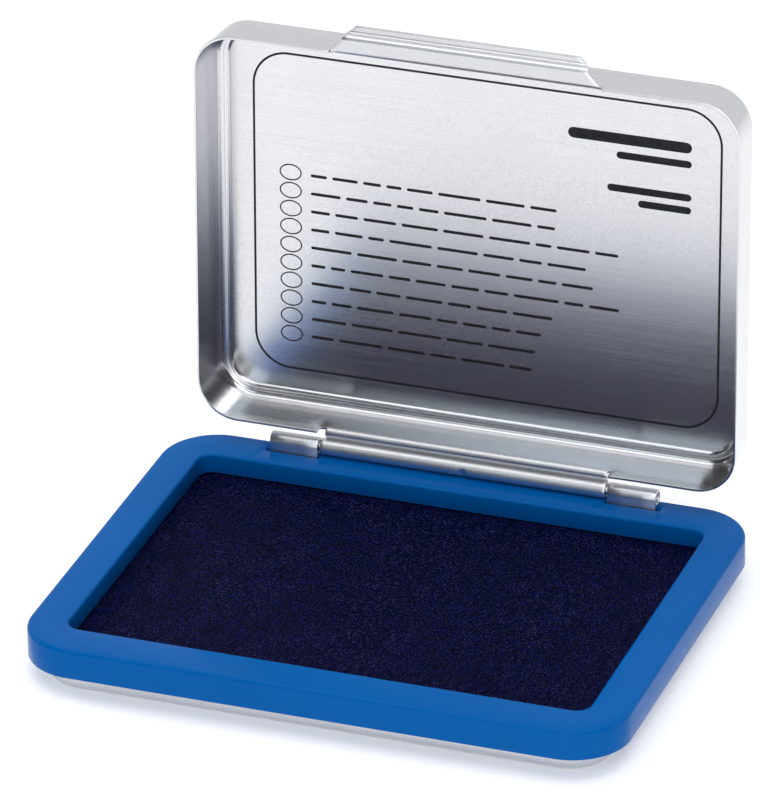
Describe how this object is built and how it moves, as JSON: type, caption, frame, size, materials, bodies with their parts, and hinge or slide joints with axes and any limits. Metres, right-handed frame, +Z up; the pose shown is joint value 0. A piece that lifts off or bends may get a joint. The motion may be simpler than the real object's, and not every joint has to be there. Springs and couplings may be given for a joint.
{
  "type": "ink pad",
  "caption": "Stamp ink pad: a cloth-covered inked pad in a shallow tin tray under a plastic frame, with a hinged tin lid that has a thumb lip.",
  "frame": {"origin": "middle of the tray's flat underside, on the surface that the pad stands on", "axes": "+X to the right along the hinge, +Y to the back where the hinge is, +Z up"},
  "size_m": [0.0806, 0.0685, 0.069],
  "materials": {
    "tinplate": "fine horizontal brush lines, semi-gloss",
    "blue_plastic": "glossy moulded plastic",
    "pin_wire": "drawn wire, semi-gloss",
    "inked_cloth": "fine woven cloth soaked with blue ink",
    "inked_felt": "felt soaked with blue ink",
    "grey_board": "plain greyboard"
  },
  "bodies": {
    "base": {"base_tray": "tinplate", "pad_frame": "blue_plastic", "pad_board": "grey_board", "ink_felt": "inked_felt", "cover_cloth": "inked_cloth"},
    "lid": {"lid_shell": "tinplate", "hinge_pin": "pin_wire"}
  },
  "joints": [
    {"name": "lid_hinge", "type": "hinge", "parent": "base", "child": "lid", "pos_m": [0, 0.0292, 0.00828], "axis": [1, 0, 0], "range_deg": [0, 92.1]}
  ]
}
